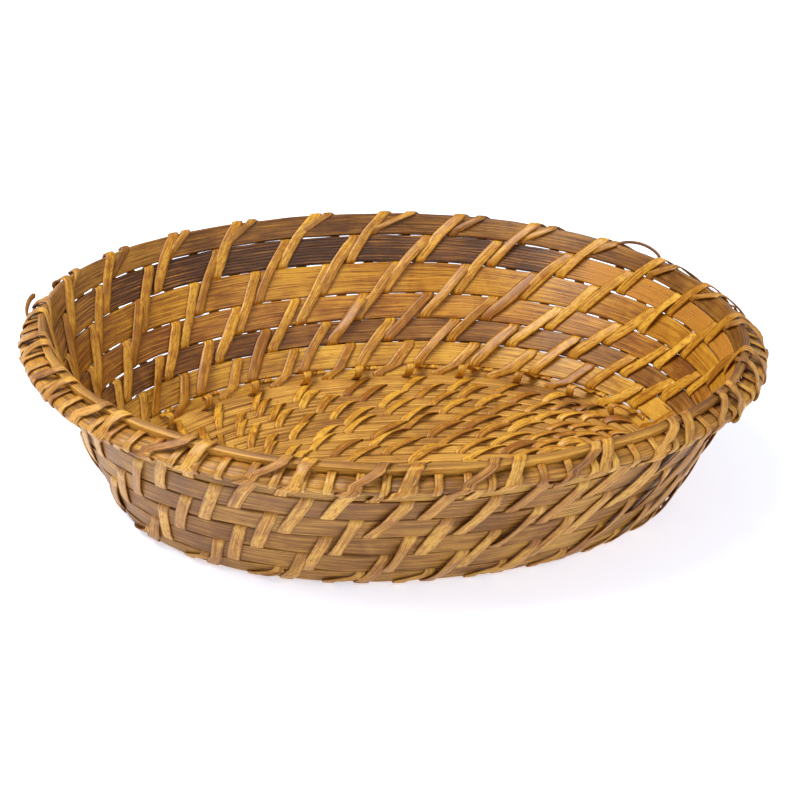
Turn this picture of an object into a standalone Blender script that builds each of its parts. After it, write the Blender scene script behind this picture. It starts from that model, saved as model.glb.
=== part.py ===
"""Oval woven cane basket: flat cane rows standing edge to edge, bound by helical strands."""
import bisect
import math

import bmesh
import bpy
from mathutils import Vector

# Driving dimensions, in metres.
SHAPE_POWER = 2.1              # 2 is an ellipse; a little more squares the oval
WALL_FOOT = (0.1393, 0.1047)   # half length and half width of the wall's outer face at its foot
WALL_TOP = (0.1700, 0.1500)    # the same at the top of the inner rim hoop
MOUTH_SHIFT_X = 0.00042        # the uneven, leaning mouth is centred over its bindings
MOUTH_SHIFT_Y = 0.00108
FOOT_SHIFT_Y = -0.0128         # the base lies this far in front of the mouth's centre
FOOT_Z = 0.0015
FOOT_LIFT = 0.0016             # the lowest wall row stands this far up, on its bindings
WALL_HEIGHT = 0.0760
WALL_BULGE = 0.0020
SHOULDER_SWELL = 0.0029        # the mouth stands out by this much at one shoulder of the oval
SHOULDER_ANGLE = 2.65
SHOULDER_POWER = 10            # how quickly that fullness dies away to either side

# Tops and bottoms of the wall's rows, as fractions of the slanting wall from foot to rim.
ROW_LEVELS = (1.0, 0.859, 0.716, 0.552, 0.403, 0.250, 0.104, 0.0)
ROW_THICKNESS = 0.0030
ROW_GAP = 0.0028
ROW_SEGMENTS = 48

HOOP_LEVELS = (0.880, 0.955)   # bottom and top of the outer hoop on the slanting wall
HOOP_STANDOFF = 0.0036
HOOP_THICKNESS = 0.0056
HOOP_CHAMFER = 0.0014

BASE_ROWS = 11
BASE_ROW_THICKNESS = 0.0035
BASE_SEGMENTS = 36
BASE_GAP = 0.0036
BASE_SLOT = 0.0017             # half width of the slit along the middle of the core
BASE_EDGE_CLEARANCE = 0.0058   # wall foot's outer face to the outermost base row

STRAND_WIDTH = 0.0055
STRAND_THICKNESS = 0.0010
STRAND_CLEARANCE = 0.0009
HOOP_CLEARANCE = 0.0004
BASE_STRAND_WIDTH = 0.0042
BASE_CLEARANCE = 0.0006

STITCHES = 24                  # turns of each wall binder round the basket
STITCH_TRAVEL = 0.60           # share of a stitch's advance made on the inside of the wall
STITCH_STAGGER = 0.50          # how far each binder's stitches lag the binder above
BASE_STITCH_PITCH = 0.040
FEWEST_STITCHES = 4
BASE_STITCH_LEAN = 0.35        # share of a base stitch's advance made on the upper side
HOOP_BANDS = (0.12, 0.47)      # places of the hoop's bands within each stitch
HOOP_BAND_LEAN = 0.05

CANE_GOLD = (0.56, 0.33, 0.10)
CANE_DARK = (0.20, 0.11, 0.07)
CANE_BASE = (0.47, 0.29, 0.15)
STRAND_GOLD = (0.66, 0.42, 0.12)

ARC_SAMPLES = 720
ANGLE_STEP = 0.01
LEVEL_STEP = 0.01


def clear_scene():
    """Remove every object that the scene starts with."""
    for thing in list(bpy.data.objects):
        bpy.data.objects.remove(thing, do_unlink=True)


def oval(half_length, half_width, angle):
    """Point of the superellipse in the direction of angle."""
    across = abs(math.cos(angle) / half_length) ** SHAPE_POWER
    along = abs(math.sin(angle) / half_width) ** SHAPE_POWER
    radius = (across + along) ** (-1.0 / SHAPE_POWER)
    return radius * math.cos(angle), radius * math.sin(angle)


def wall_point(level, angle):
    """Point on the wall's outer face, with level 0 at the foot and 1 at the rim."""
    swell = WALL_BULGE * 4.0 * level * (1.0 - level)
    half_length = WALL_FOOT[0] + level * (WALL_TOP[0] - WALL_FOOT[0]) + swell
    half_width = WALL_FOOT[1] + level * (WALL_TOP[1] - WALL_FOOT[1]) + swell
    x, y = oval(half_length, half_width, angle)
    facing = max(math.cos(angle - SHOULDER_ANGLE), 0.0)
    fullness = SHOULDER_SWELL * level * facing**SHOULDER_POWER
    x += fullness * math.cos(angle)
    y += fullness * math.sin(angle)
    x += MOUTH_SHIFT_X * level
    y += MOUTH_SHIFT_Y * level + FOOT_SHIFT_Y * (1.0 - level)
    return Vector((x, y, FOOT_Z + level * WALL_HEIGHT))


def wall_place(level, angle, rise=0.0, out=0.0):
    """Point beside the wall: rise up the slant and out from the outer face."""
    here = wall_point(level, angle)
    along = wall_point(level, angle + ANGLE_STEP) - wall_point(level, angle - ANGLE_STEP)
    up = (wall_point(level + LEVEL_STEP, angle) - wall_point(level - LEVEL_STEP, angle)).normalized()
    outward = along.cross(up).normalized()
    return here + rise * up + out * outward


def base_place(inset, angle, height):
    """Point on the base, inset from the outermost base row's outer edge."""
    half_length = WALL_FOOT[0] - BASE_EDGE_CLEARANCE - inset
    half_width = WALL_FOOT[1] - BASE_EDGE_CLEARANCE - inset
    squareness = 2.0 / SHAPE_POWER
    across = math.copysign(abs(math.cos(angle)) ** squareness, math.cos(angle))
    along = math.copysign(abs(math.sin(angle)) ** squareness, math.sin(angle))
    return Vector((half_length * across, half_width * along + FOOT_SHIFT_Y, height))


def even_angles():
    """Cumulative share of the way round the wall at evenly spaced angles."""
    points = [wall_point(0.5, 2.0 * math.pi * i / ARC_SAMPLES) for i in range(ARC_SAMPLES + 1)]
    lengths = [0.0]
    for first, second in zip(points, points[1:]):
        lengths.append(lengths[-1] + (second - first).length)
    return [length / lengths[-1] for length in lengths]


ARC_SHARES = even_angles()


def angle_at(turns):
    """Angle that is this share of the way round, by length along the wall."""
    whole, share = divmod(turns, 1.0)
    index = max(bisect.bisect_right(ARC_SHARES, share), 1)
    index = min(index, ARC_SAMPLES)
    low, high = ARC_SHARES[index - 1], ARC_SHARES[index]
    step = index - 1 + (share - low) / (high - low)
    return 2.0 * math.pi * (whole + step / ARC_SAMPLES)


def material(name, colour, roughness):
    """Principled material in one plain colour."""
    made = bpy.data.materials.new(name)
    made.use_nodes = True
    shader = made.node_tree.nodes["Principled BSDF"]
    shader.inputs["Base Color"].default_value = (*colour, 1.0)
    shader.inputs["Roughness"].default_value = roughness
    shader.inputs["Metallic"].default_value = 0.0
    return made


def closed_loop(name, sections, finish):
    """Join sections, each a ring of points, into one closed ring-shaped solid."""
    bm = bmesh.new()
    rings = [[bm.verts.new(point) for point in section] for section in sections]
    sides = len(sections[0])
    for ring, following in zip(rings, rings[1:] + rings[:1]):
        for i in range(sides):
            j = (i + 1) % sides
            bm.faces.new((ring[i], ring[j], following[j], following[i]))
    bmesh.ops.recalc_face_normals(bm, faces=bm.faces)
    mesh = bpy.data.meshes.new(name)
    bm.to_mesh(mesh)
    bm.free()
    mesh.shade_smooth()
    mesh.set_sharp_from_angle(angle=math.radians(40.0))
    mesh.materials.append(finish)
    thing = bpy.data.objects.new(name, mesh)
    bpy.context.collection.objects.link(thing)
    return thing


def wall_row(name, top, bottom, finish):
    """Flat cane row that stands in the wall between two levels."""
    half_gap = ROW_GAP / 2.0
    sections = []
    for i in range(ROW_SEGMENTS):
        angle = angle_at(i / ROW_SEGMENTS)
        low = half_gap if bottom > 0.0 else FOOT_LIFT
        high = half_gap if top < 1.0 else 0.0
        sections.append([
            wall_place(bottom, angle, low, -ROW_THICKNESS),
            wall_place(bottom, angle, low, 0.0),
            wall_place(top, angle, -high, 0.0),
            wall_place(top, angle, -high, -ROW_THICKNESS),
        ])
    return closed_loop(name, sections, finish)


def outer_hoop(name, finish):
    """Half-round hoop outside the inner rim hoop."""
    bottom, top = HOOP_LEVELS
    near = HOOP_STANDOFF
    far = HOOP_STANDOFF + HOOP_THICKNESS
    sections = []
    for i in range(ROW_SEGMENTS):
        angle = angle_at(i / ROW_SEGMENTS)
        sections.append([
            wall_place(bottom, angle, 0.0, near),
            wall_place(bottom, angle, 0.0, far - HOOP_CHAMFER),
            wall_place(bottom, angle, HOOP_CHAMFER, far),
            wall_place(top, angle, -HOOP_CHAMFER, far),
            wall_place(top, angle, 0.0, far - HOOP_CHAMFER),
            wall_place(top, angle, 0.0, near),
        ])
    return closed_loop(name, sections, finish)


def base_pitch():
    """Spacing of the base rows, edge to edge with their gap."""
    reach = WALL_FOOT[1] - BASE_EDGE_CLEARANCE - BASE_SLOT + BASE_GAP
    return reach / BASE_ROWS


def base_bottom():
    """Underside of the base rows, above the strands that pass beneath."""
    return STRAND_THICKNESS + BASE_CLEARANCE


def base_row(name, number, finish):
    """Flat cane row of the base; number 1 is the outermost."""
    outer = (number - 1) * base_pitch()
    inner = outer + base_pitch() - BASE_GAP
    low = base_bottom()
    high = low + BASE_ROW_THICKNESS
    sections = []
    for i in range(BASE_SEGMENTS):
        angle = 2.0 * math.pi * i / BASE_SEGMENTS
        sections.append([
            base_place(inner, angle, low),
            base_place(outer, angle, low),
            base_place(outer, angle, high),
            base_place(inner, angle, high),
        ])
    return closed_loop(name, sections, finish)


def strand_section(place, angle, width):
    """Four corners of a strand cut level with the rows; place gives each face's point."""
    near = place(angle, 0.0)
    far = place(angle, STRAND_THICKNESS)
    side = place(angle + ANGLE_STEP, 0.0) - place(angle - ANGLE_STEP, 0.0)
    half = side.normalized() * (width / 2.0)
    return [near - half, near + half, far + half, far - half]


def wall_corner(level, rise_sign, out_sign, face, clearance, rise=0.0):
    """Corner of a strand's path round rows: on a face, above or below an edge."""
    def place(angle, thickness):
        reach = clearance + thickness
        return wall_place(level, angle, rise + rise_sign * reach, face + out_sign * reach)
    return place


def base_corner(inset, in_sign, height, up_sign, clearance):
    """Corner of a strand's path round base rows."""
    def place(angle, thickness):
        reach = clearance + thickness
        return base_place(inset + in_sign * reach, angle, height + up_sign * reach)
    return place


def strand(name, path, finish, width=STRAND_WIDTH):
    """Closed helical strand through a list of (corner, share of the way round)."""
    sections = [strand_section(corner, angle_at(turns), width) for corner, turns in path]
    return closed_loop(name, sections, finish)


def row_edge(level, above):
    """Rise from a level to the edge of the row above or below it."""
    if level == 0.0:
        return FOOT_LIFT
    return ROW_GAP / 2.0 if above else -ROW_GAP / 2.0


def wall_binder(name, upper, finish):
    """Helical strand round row upper and the row below it."""
    top = ROW_LEVELS[upper]
    bottom = ROW_LEVELS[upper + 2]
    top_rise = row_edge(top, above=False)
    bottom_rise = row_edge(bottom, above=True)
    gap = STRAND_CLEARANCE
    corners = (
        (wall_corner(top, 1, 1, 0.0, gap, top_rise), 0.0),
        (wall_corner(top, 1, -1, -ROW_THICKNESS, gap, top_rise), 0.0),
        (wall_corner(bottom, -1, -1, -ROW_THICKNESS, gap, bottom_rise), STITCH_TRAVEL),
        (wall_corner(bottom, -1, 1, 0.0, gap, bottom_rise), STITCH_TRAVEL),
    )
    return strand(name, stitched(corners, upper), finish)


def stitched(corners, order):
    """Repeat one stitch's corners all the way round, lagging by the binder's order."""
    lag = STITCH_STAGGER * order
    return [
        (corner, (turn + lag + travel) / STITCHES)
        for turn in range(STITCHES)
        for corner, travel in corners
    ]


def rim_lashing(name, finish):
    """Helical strand over both hoops and the first wall row."""
    hoop_low, hoop_high = HOOP_LEVELS
    bottom = ROW_LEVELS[2]
    bottom_rise = row_edge(bottom, above=True)
    gap = STRAND_CLEARANCE
    hoop_face = HOOP_STANDOFF + HOOP_THICKNESS
    under_hoop = -0.0062
    rest = 1.0 - STITCH_TRAVEL
    corners = (
        (wall_corner(1.0, 1, -1, -ROW_THICKNESS, gap), 0.0),
        (wall_corner(bottom, -1, -1, -ROW_THICKNESS, gap, bottom_rise), STITCH_TRAVEL),
        (wall_corner(bottom, -1, 1, 0.0, gap, bottom_rise), STITCH_TRAVEL),
        (wall_corner(hoop_low, 0, 1, 0.0, gap, under_hoop), STITCH_TRAVEL + 0.25 * rest),
        (wall_corner(hoop_low, -1, 1, hoop_face, gap), STITCH_TRAVEL + 0.45 * rest),
        (wall_corner(hoop_high, 1, 1, hoop_face, gap), STITCH_TRAVEL + 0.80 * rest),
        (wall_corner(1.0, 1, 1, 0.0, gap), 1.0),
    )
    return strand(name, stitched(corners, 0), finish)


def rim_wrap(name, finish):
    """Narrow strand wound round the outer hoop alone."""
    low, high = HOOP_LEVELS
    gap = HOOP_CLEARANCE
    near = HOOP_STANDOFF
    far = HOOP_STANDOFF + HOOP_THICKNESS
    path = []
    for turn in range(STITCHES):
        for i, band in enumerate(HOOP_BANDS):
            following = HOOP_BANDS[i + 1] if i + 1 < len(HOOP_BANDS) else 1.0 + HOOP_BANDS[0]
            path.append((wall_corner(low, -1, 1, far, gap), (turn + band) / STITCHES))
            leaned = (turn + band + HOOP_BAND_LEAN) / STITCHES
            path.append((wall_corner(high, 1, 1, far, gap), leaned))
            path.append((wall_corner(high, 1, -1, near, gap), leaned))
            path.append((wall_corner(low, -1, -1, near, gap), (turn + following) / STITCHES))
    return strand(name, path, finish, width=BASE_STRAND_WIDTH)


def foot_binder(name, finish):
    """Helical strand that ties the lowest wall row to the outermost base row."""
    top = ROW_LEVELS[6]
    top_rise = row_edge(top, above=False)
    gap = STRAND_CLEARANCE
    low = base_bottom()
    high = low + BASE_ROW_THICKNESS
    inner = base_pitch() - BASE_GAP
    thin = BASE_CLEARANCE

    def under_foot(angle, thickness):
        below = wall_place(0.0, angle, 0.0, gap + thickness)
        below.z = low - thin - thickness
        return below

    def over_row(angle, thickness):
        lift = (high + thin + thickness - FOOT_Z) / WALL_HEIGHT
        return wall_place(lift, angle, 0.0, -ROW_THICKNESS - gap - thickness)

    corners = (
        (wall_corner(top, 1, 1, 0.0, gap, top_rise), 0.0),
        (wall_corner(top, 1, -1, -ROW_THICKNESS, gap, top_rise), 0.0),
        (over_row, 0.25),
        (base_corner(inner, 1, high, 1, thin), STITCH_TRAVEL),
        (base_corner(inner, 1, low, -1, thin), STITCH_TRAVEL),
        (under_foot, 0.75),
    )
    return strand(name, stitched(corners, 6), finish, width=BASE_STRAND_WIDTH)


def base_binder(name, outer_row, finish):
    """Helical strand round two neighbouring base rows."""
    outer = (outer_row - 1) * base_pitch()
    inner = outer + 2.0 * base_pitch() - BASE_GAP
    low = base_bottom()
    high = low + BASE_ROW_THICKNESS
    thin = BASE_CLEARANCE
    half_length = WALL_FOOT[0] - BASE_EDGE_CLEARANCE - (outer + inner) / 2.0
    half_width = WALL_FOOT[1] - BASE_EDGE_CLEARANCE - (outer + inner) / 2.0
    around = math.pi * (half_length + half_width)
    count = max(FEWEST_STITCHES, round(around / BASE_STITCH_PITCH))
    sections = []
    for turn in range(count):
        start = 2.0 * math.pi * (turn + STITCH_STAGGER * outer_row) / count
        finish_angle = start + 2.0 * math.pi * BASE_STITCH_LEAN / count
        for corner, angle in (
            (base_corner(outer, -1, low, -1, thin), start),
            (base_corner(outer, -1, high, 1, thin), start),
            (base_corner(inner, 1, high, 1, thin), finish_angle),
            (base_corner(inner, 1, low, -1, thin), finish_angle),
        ):
            sections.append(strand_section(corner, angle, BASE_STRAND_WIDTH))
    return closed_loop(name, sections, finish)


def main():
    """Build every row, hoop and strand as its own object."""
    clear_scene()
    gold = material("gold_cane", CANE_GOLD, 0.42)
    dark = material("dark_cane", CANE_DARK, 0.50)
    split = material("split_cane", CANE_BASE, 0.62)
    stitching = material("stitching_cane", STRAND_GOLD, 0.48)

    wall_row("inner_rim_hoop", ROW_LEVELS[0], ROW_LEVELS[1], gold)
    outer_hoop("outer_rim_hoop", gold)
    for number in range(1, 7):
        finish = dark if number == 1 else gold
        wall_row(f"wall_row_{number}", ROW_LEVELS[number], ROW_LEVELS[number + 1], finish)
    for number in range(1, BASE_ROWS):
        base_row(f"base_row_{number:02d}", number, split)
    base_row("base_core", BASE_ROWS, split)

    rim_lashing("rim_lashing", stitching)
    rim_wrap("rim_wrap", stitching)
    for upper in range(1, 6):
        wall_binder(f"wall_binder_{upper}", upper, stitching)
    foot_binder("foot_binder", stitching)
    for number, outer_row in enumerate(range(2, BASE_ROWS, 2), start=1):
        base_binder(f"base_binder_{number}", outer_row, stitching)


main()
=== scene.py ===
"""Oval cane basket: flat cane rows standing edge to edge, lashed by helical strands, on a coiled base."""
from __future__ import annotations

import logging
import math
from dataclasses import dataclass, field
from enum import Enum
from typing import Any, Sequence

import bpy
import numpy as np
from mathutils import Matrix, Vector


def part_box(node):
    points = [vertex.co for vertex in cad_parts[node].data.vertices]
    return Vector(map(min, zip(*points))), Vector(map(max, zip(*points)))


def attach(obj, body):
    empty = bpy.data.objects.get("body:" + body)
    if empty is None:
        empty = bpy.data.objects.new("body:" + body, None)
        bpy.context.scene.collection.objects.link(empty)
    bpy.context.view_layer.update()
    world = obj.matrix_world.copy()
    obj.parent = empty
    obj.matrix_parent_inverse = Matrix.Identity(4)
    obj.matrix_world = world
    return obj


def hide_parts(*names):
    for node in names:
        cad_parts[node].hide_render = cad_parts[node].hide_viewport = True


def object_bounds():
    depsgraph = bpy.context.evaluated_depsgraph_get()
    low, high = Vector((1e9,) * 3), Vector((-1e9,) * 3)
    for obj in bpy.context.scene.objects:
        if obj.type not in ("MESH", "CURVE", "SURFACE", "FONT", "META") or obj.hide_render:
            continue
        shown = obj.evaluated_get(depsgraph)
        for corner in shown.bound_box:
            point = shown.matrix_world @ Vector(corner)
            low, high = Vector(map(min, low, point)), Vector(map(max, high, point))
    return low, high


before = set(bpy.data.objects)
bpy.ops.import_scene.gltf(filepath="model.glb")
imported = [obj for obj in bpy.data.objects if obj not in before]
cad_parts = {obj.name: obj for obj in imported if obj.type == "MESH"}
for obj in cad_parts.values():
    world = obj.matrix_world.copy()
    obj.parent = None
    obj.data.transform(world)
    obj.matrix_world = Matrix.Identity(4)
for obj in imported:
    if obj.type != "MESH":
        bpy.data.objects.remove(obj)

LOG = logging.getLogger("basket")
MM = 0.001
FULL_TURN = 2.0 * math.pi
LAST_WALL_ROW = 6
HOOP_END_SWELL = 0.0024   # how much thicker the outer hoop is at the two ends of the oval
MOUTH_SHIFT = (0.00042, 0.00108)   # the uneven mouth is centred over its bindings
FOOT_CLEARANCE = 0.0058   # from the outermost base row to the outer face of the wall
CAD_BOX = [list(corner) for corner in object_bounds()]


class Slot(Enum):
    """Material slots of the record."""

    GOLD = "gold_cane"
    DARK = "dark_cane"
    SPLIT = "split_cane"
    STITCH = "stitching_cane"


class Side(Enum):
    """Which side of the wall a stretch of strand lies on."""

    INSIDE = 0.0
    OUTSIDE = 1.0


# ---------------------------------------------------------------- finishes


def linear(code: str) -> tuple[float, float, float, float]:
    """Turn an sRGB hex colour into linear light.

    Args:
        code: Six hex digits.

    Returns:
        Red, green, blue and alpha.
    """
    parts = [int(code[i : i + 2], 16) / 255.0 for i in (0, 2, 4)]
    light = [p / 12.92 if p <= 0.04045 else ((p + 0.055) / 1.055) ** 2.4 for p in parts]
    return (light[0], light[1], light[2], 1.0)


def add_node(
    tree: bpy.types.NodeTree,
    kind: str,
    settings: dict[str, Any] | str | None = None,
    inputs: dict[Any, Any] | tuple[Any, ...] | None = None,
) -> bpy.types.Node:
    """Add a node with its settings, and set or link its inputs.

    Args:
        tree: The node tree that gets the node.
        kind: The node's type name after "ShaderNode".
        settings: Properties of the node, or its operation alone; "stops" fills a colour ramp.
        inputs: Value or output socket for each input, by name or number, or in order from the first.

    Returns:
        The new node.
    """
    node = tree.nodes.new("ShaderNode" + kind)
    if isinstance(settings, str):
        settings = {"operation": settings}
    if isinstance(inputs, tuple):
        inputs = dict(enumerate(inputs))
    for name, value in (settings or {}).items():
        if name == "stops":
            ramp = node.color_ramp.elements
            ramp[0].position, ramp[0].color = value[0]
            ramp[1].position, ramp[1].color = value[-1]
            for position, colour in value[1:-1]:
                ramp.new(position).color = colour
        else:
            setattr(node, name, value)
    for name, value in (inputs or {}).items():
        if isinstance(value, bpy.types.NodeSocket):
            tree.links.new(value, node.inputs[name])
        else:
            node.inputs[name].default_value = value
    return node


@dataclass(frozen=True)
class Shades:
    """Pale, middle and deep colour of one face of the cane, as sRGB hex."""

    pale: str
    body: str
    deep: str


@dataclass(frozen=True)
class CaneFinish:
    """Split rattan cane, peeled, dried and oiled: long fibres, blotches of stain and a waxy gloss.

    The skin face is glossy and golden, the outer face is drier and browner.
    """

    name: str
    inner: Shades
    outer: Shades
    groove: str = "4A2A12"
    fleck: str = "8A4A16"
    fibre_mm: float = 0.60      # spacing of the vessels, coarser than the real 0.4 mm so that it shows
    streak_mm: float = 1.9      # spacing of the broader streaks
    blotch_mm: float = 22.0     # size of the stained patches
    groove_share: float = 0.40  # how much of the surface the dark grooves take
    fleck_share: float = 0.25
    rib_mm: float = 0.0         # spacing of raised ribs, none if zero
    inner_rough: float = 0.34
    outer_rough: float = 0.58
    coat: float = 0.12
    relief_mm: float = 0.32
    edge_from: float = 0.95     # where across the strip the painted edge shade begins
    # strength of the painted shade along the edges
    edge_shade_depth: float = 0.35

    def make(self) -> bpy.types.Material:
        """Build the node material.

        Returns:
            The material, which reads the piece's UV map in metres and its tone, outer and edge attributes.
        """
        made = bpy.data.materials.new(self.name)
        made.use_nodes = True
        tree = made.node_tree
        tree.nodes.clear()
        output = add_node(tree, "OutputMaterial")
        lengthwise = add_node(tree, "UVMap", {"uv_map": "UVMap"}).outputs["UV"]
        place = add_node(tree, "TexCoord").outputs["Object"]
        tone, face, edge = (
            add_node(tree, "Attribute", {"attribute_name": name}).outputs["Fac"]
            for name in ("tone", "outer", "edge"))

        # Fibre, streak and fleck: noise stretched along the cane (length, spacing, detail, roughness).
        fibre, streak, fleck = (
            add_node(tree, "TexNoise", None, {
                "Vector": add_node(tree, "VectorMath", "MULTIPLY", (
                    lengthwise, (1.0 / (length * MM), 1.0 / (spacing * MM), 1.0))).outputs[0],
                "Scale": 1.0, "Detail": detail, "Roughness": roughness}).outputs["Fac"]
            for length, spacing, detail, roughness in (
                (28.0, self.fibre_mm, 3.0, 0.7), (95.0, self.streak_mm, 5.0, 0.72), (3.6, 1.6, 3.0, 0.7)))
        blotch = add_node(tree, "TexNoise", None, {
            "Vector": place, "Scale": 1.0 / (self.blotch_mm * MM), "Detail": 4.0,
            "Roughness": 0.6, "Distortion": 0.6}).outputs["Fac"]

        # Pale and deep mixed by the noises, then moved by each length's own tone.
        grain, streaky, patchy, toned = (
            add_node(tree, "Math", "MULTIPLY_ADD", (source, gain, offset)).outputs[0]
            for source, gain, offset in (
                (fibre, 1.9, -0.95), (streak, 1.15, -0.075), (blotch, 0.9, -0.45), (tone, 0.9, -0.45)))
        mixed = grain
        for part in (streaky, patchy, toned):
            mixed = add_node(tree, "Math", "ADD", (mixed, part)).outputs[0]
        skin, back = (
            add_node(tree, "ValToRGB", {"stops": (
                (0.18, linear(shades.deep)), (0.48, linear(shades.body)),
                (0.82, linear(shades.pale)))}, (mixed,)).outputs["Color"]
            for shades in (self.inner, self.outer))

        # Flecks of stain, the dark grooves where the strip was split along its vessels, and painted shade:
        # edges darkened in the groove colour where each strip or strand meets its neighbours.
        flecked, grooved, painted_edge_shade = (
            add_node(tree, "MapRange", {"interpolation_type": "SMOOTHSTEP"}, {
                "Value": source, "From Min": low, "From Max": high, "To Min": 0.0,
                "To Max": most}).outputs["Result"]
            for source, low, high, most in (
                (fleck, 0.64 - 0.20 * self.fleck_share, 0.74 - 0.08 * self.fleck_share, 0.8),
                (streak, 0.12 + 0.30 * self.groove_share, 0.08 + 0.22 * self.groove_share, 0.8),
                (edge, self.edge_from, 1.0, self.edge_shade_depth)))
        height = add_node(tree, "Math", "MULTIPLY_ADD", (fibre, 0.45, streak)).outputs[0]
        sunk = add_node(tree, "Math", "MULTIPLY", (grooved, -0.6)).outputs[0]
        height = add_node(tree, "Math", "ADD", (height, sunk)).outputs[0]
        layers = [(face, back), (flecked, linear(self.fleck)), (grooved, linear(self.groove))]
        if self.rib_mm > 0.0:
            across = add_node(tree, "SeparateXYZ", None, (lengthwise,)).outputs["Y"]
            wander = add_node(tree, "Math", "MULTIPLY_ADD", (streak, 1.6 * MM, across)).outputs[0]
            phase = add_node(tree, "Math", "MULTIPLY", (wander, FULL_TURN / (self.rib_mm * MM))).outputs[0]
            wave = add_node(tree, "Math", "SINE", (phase,)).outputs[0]
            furrow = add_node(tree, "MapRange", {"interpolation_type": "SMOOTHSTEP"}, {
                "Value": wave, "From Min": -0.1, "From Max": -0.95, "To Min": 0.0,
                "To Max": 0.85}).outputs["Result"]
            plain = add_node(tree, "Math", {"operation": "SUBTRACT", "use_clamp": True}, (
                1.05, tone)).outputs[0]
            furrow = add_node(tree, "Math", "MULTIPLY", (furrow, plain)).outputs[0]
            layers.append((furrow, linear(self.groove)))
            height = add_node(tree, "Math", "MULTIPLY_ADD", (furrow, -1.0, height)).outputs[0]
        # painted shade along the edges of the strip, in the groove colour
        layers.append((painted_edge_shade, linear(self.groove)))
        colour = skin
        for share, paint in layers:
            colour = add_node(tree, "Mix", {"data_type": "RGBA"}, {0: share, 6: colour, 7: paint}).outputs[2]

        rough = add_node(tree, "Mix", {"data_type": "FLOAT"}, {
            0: face, 2: self.inner_rough, 3: self.outer_rough}).outputs[0]
        rough = add_node(tree, "Math", "MULTIPLY_ADD", (blotch, 0.22, rough)).outputs[0]
        rough = add_node(tree, "Math", "SUBTRACT", (rough, 0.11)).outputs[0]
        bump = add_node(tree, "Bump", None, {
            "Strength": 0.85, "Distance": self.relief_mm * MM, "Height": height}).outputs["Normal"]
        shader = add_node(tree, "BsdfPrincipled", None, {
            "Base Color": colour, "Roughness": rough, "Normal": bump, "IOR": 1.50, "Specular IOR Level": 0.32,
            "Coat Weight": self.coat, "Coat Roughness": 0.30})
        tree.links.new(shader.outputs["BSDF"], output.inputs["Surface"])
        return made


class Finishes:
    """Every cane finish of the basket, each made once."""

    def __init__(self) -> None:
        """Make the materials."""
        dull = Shades("C0903C", "9A6A28", "704412")
        self.hoop = CaneFinish(
            "rattan_hoop_oiled", Shades("B07C2C", "86561B", "5A340D"), Shades("D8A041", "B47C2E", "7E4E19"),
            groove="573216", groove_share=0.45, inner_rough=0.42, outer_rough=0.46).make()
        self.outer_hoop = CaneFinish(
            "rattan_hoop_weathered", Shades("C88E38", "9C6622", "683C11"),
            Shades("C8903A", "9C6A25", "684014"), groove="4E2C14", groove_share=0.5, inner_rough=0.5,
            outer_rough=0.48).make()
        self.vine = CaneFinish(
            "dark_vine_ribbed", Shades("C4842C", "7A4E28", "4E2E17"), dull,
            groove="2E1A10", rib_mm=1.35, inner_rough=0.44, relief_mm=0.5, blotch_mm=40.0).make()
        self.gold = CaneFinish(
            "rattan_skin_golden_glossy", Shades("D49C2E", "B27619", "7C460D"), dull,
            groove="6E3E14", groove_share=0.12, blotch_mm=26.0, coat=0.18, inner_rough=0.32).make()
        self.amber = CaneFinish(
            "rattan_skin_amber", Shades("CE9433", "A86C20", "744011"), dull,
            groove="643A16", groove_share=0.2, blotch_mm=24.0, coat=0.15).make()
        self.smoked = CaneFinish(
            "rattan_skin_smoked", Shades("AC7A33", "84521E", "522E0F"), dull,
            groove="3F2312", groove_share=0.4, coat=0.1, inner_rough=0.42).make()
        self.straw = CaneFinish(
            "rattan_skin_straw", Shades("E2AE44", "C48C2B", "8A5618"), dull,
            groove="7A4A1E", groove_share=0.18, coat=0.15).make()
        self.split = CaneFinish(
            "rattan_core_split_fibrous", Shades("DEA848", "C08837", "885620"), dull,
            groove="6A4420", groove_share=0.5, rib_mm=1.5, inner_rough=0.6, coat=0.0, relief_mm=0.4,
            fleck_share=0.1).make()
        self.strand = CaneFinish(
            "stitching_cane_split", Shades("E4B03D", "BE8420", "8A5612"),
            Shades("D2A346", "B07C2C", "7E4E19"), groove="7A4414", fleck="9A4E12", groove_share=0.2,
            streak_mm=1.5, blotch_mm=9.0,
            fleck_share=0.9, inner_rough=0.36, outer_rough=0.5, coat=0.2, relief_mm=0.12,
            edge_from=0.78, edge_shade_depth=0.6).make()
        self.brown_strand = CaneFinish(
            "stitching_cane_stained", Shades("CE983C", "A46E2A", "704416"),
            Shades("CC9644", "A26C30", "70441C"), groove="5A3414", groove_share=0.3, streak_mm=1.2,
            blotch_mm=9.0, fleck_share=0.6,
            relief_mm=0.12, edge_from=0.78, edge_shade_depth=0.6).make()


# ---------------------------------------------------------------- lengths of cane


def unit(vectors: np.ndarray) -> np.ndarray:
    """Scale each vector to length one.

    Args:
        vectors: Array of vectors, one a line.

    Returns:
        The unit vectors.
    """
    return vectors / np.maximum(np.linalg.norm(vectors, axis=-1, keepdims=True), 1e-12)


def drift(shares: np.ndarray, size: float, cycles: Sequence[int], seed: int) -> np.ndarray:
    """Smooth random wander that closes on itself round a ring.

    Args:
        shares: Places round the ring, from 0 to 1.
        size: Rough greatest wander, in metres.
        cycles: Numbers of waves round the ring that take part.
        seed: Seed of the wander.

    Returns:
        The wander at each place.
    """
    rng = np.random.default_rng(seed)
    total = np.zeros_like(shares)
    for count in cycles:
        total += rng.uniform(0.4, 1.0) * np.sin(FULL_TURN * (count * shares + rng.uniform()))
    return total * size / math.sqrt(len(cycles))


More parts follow.
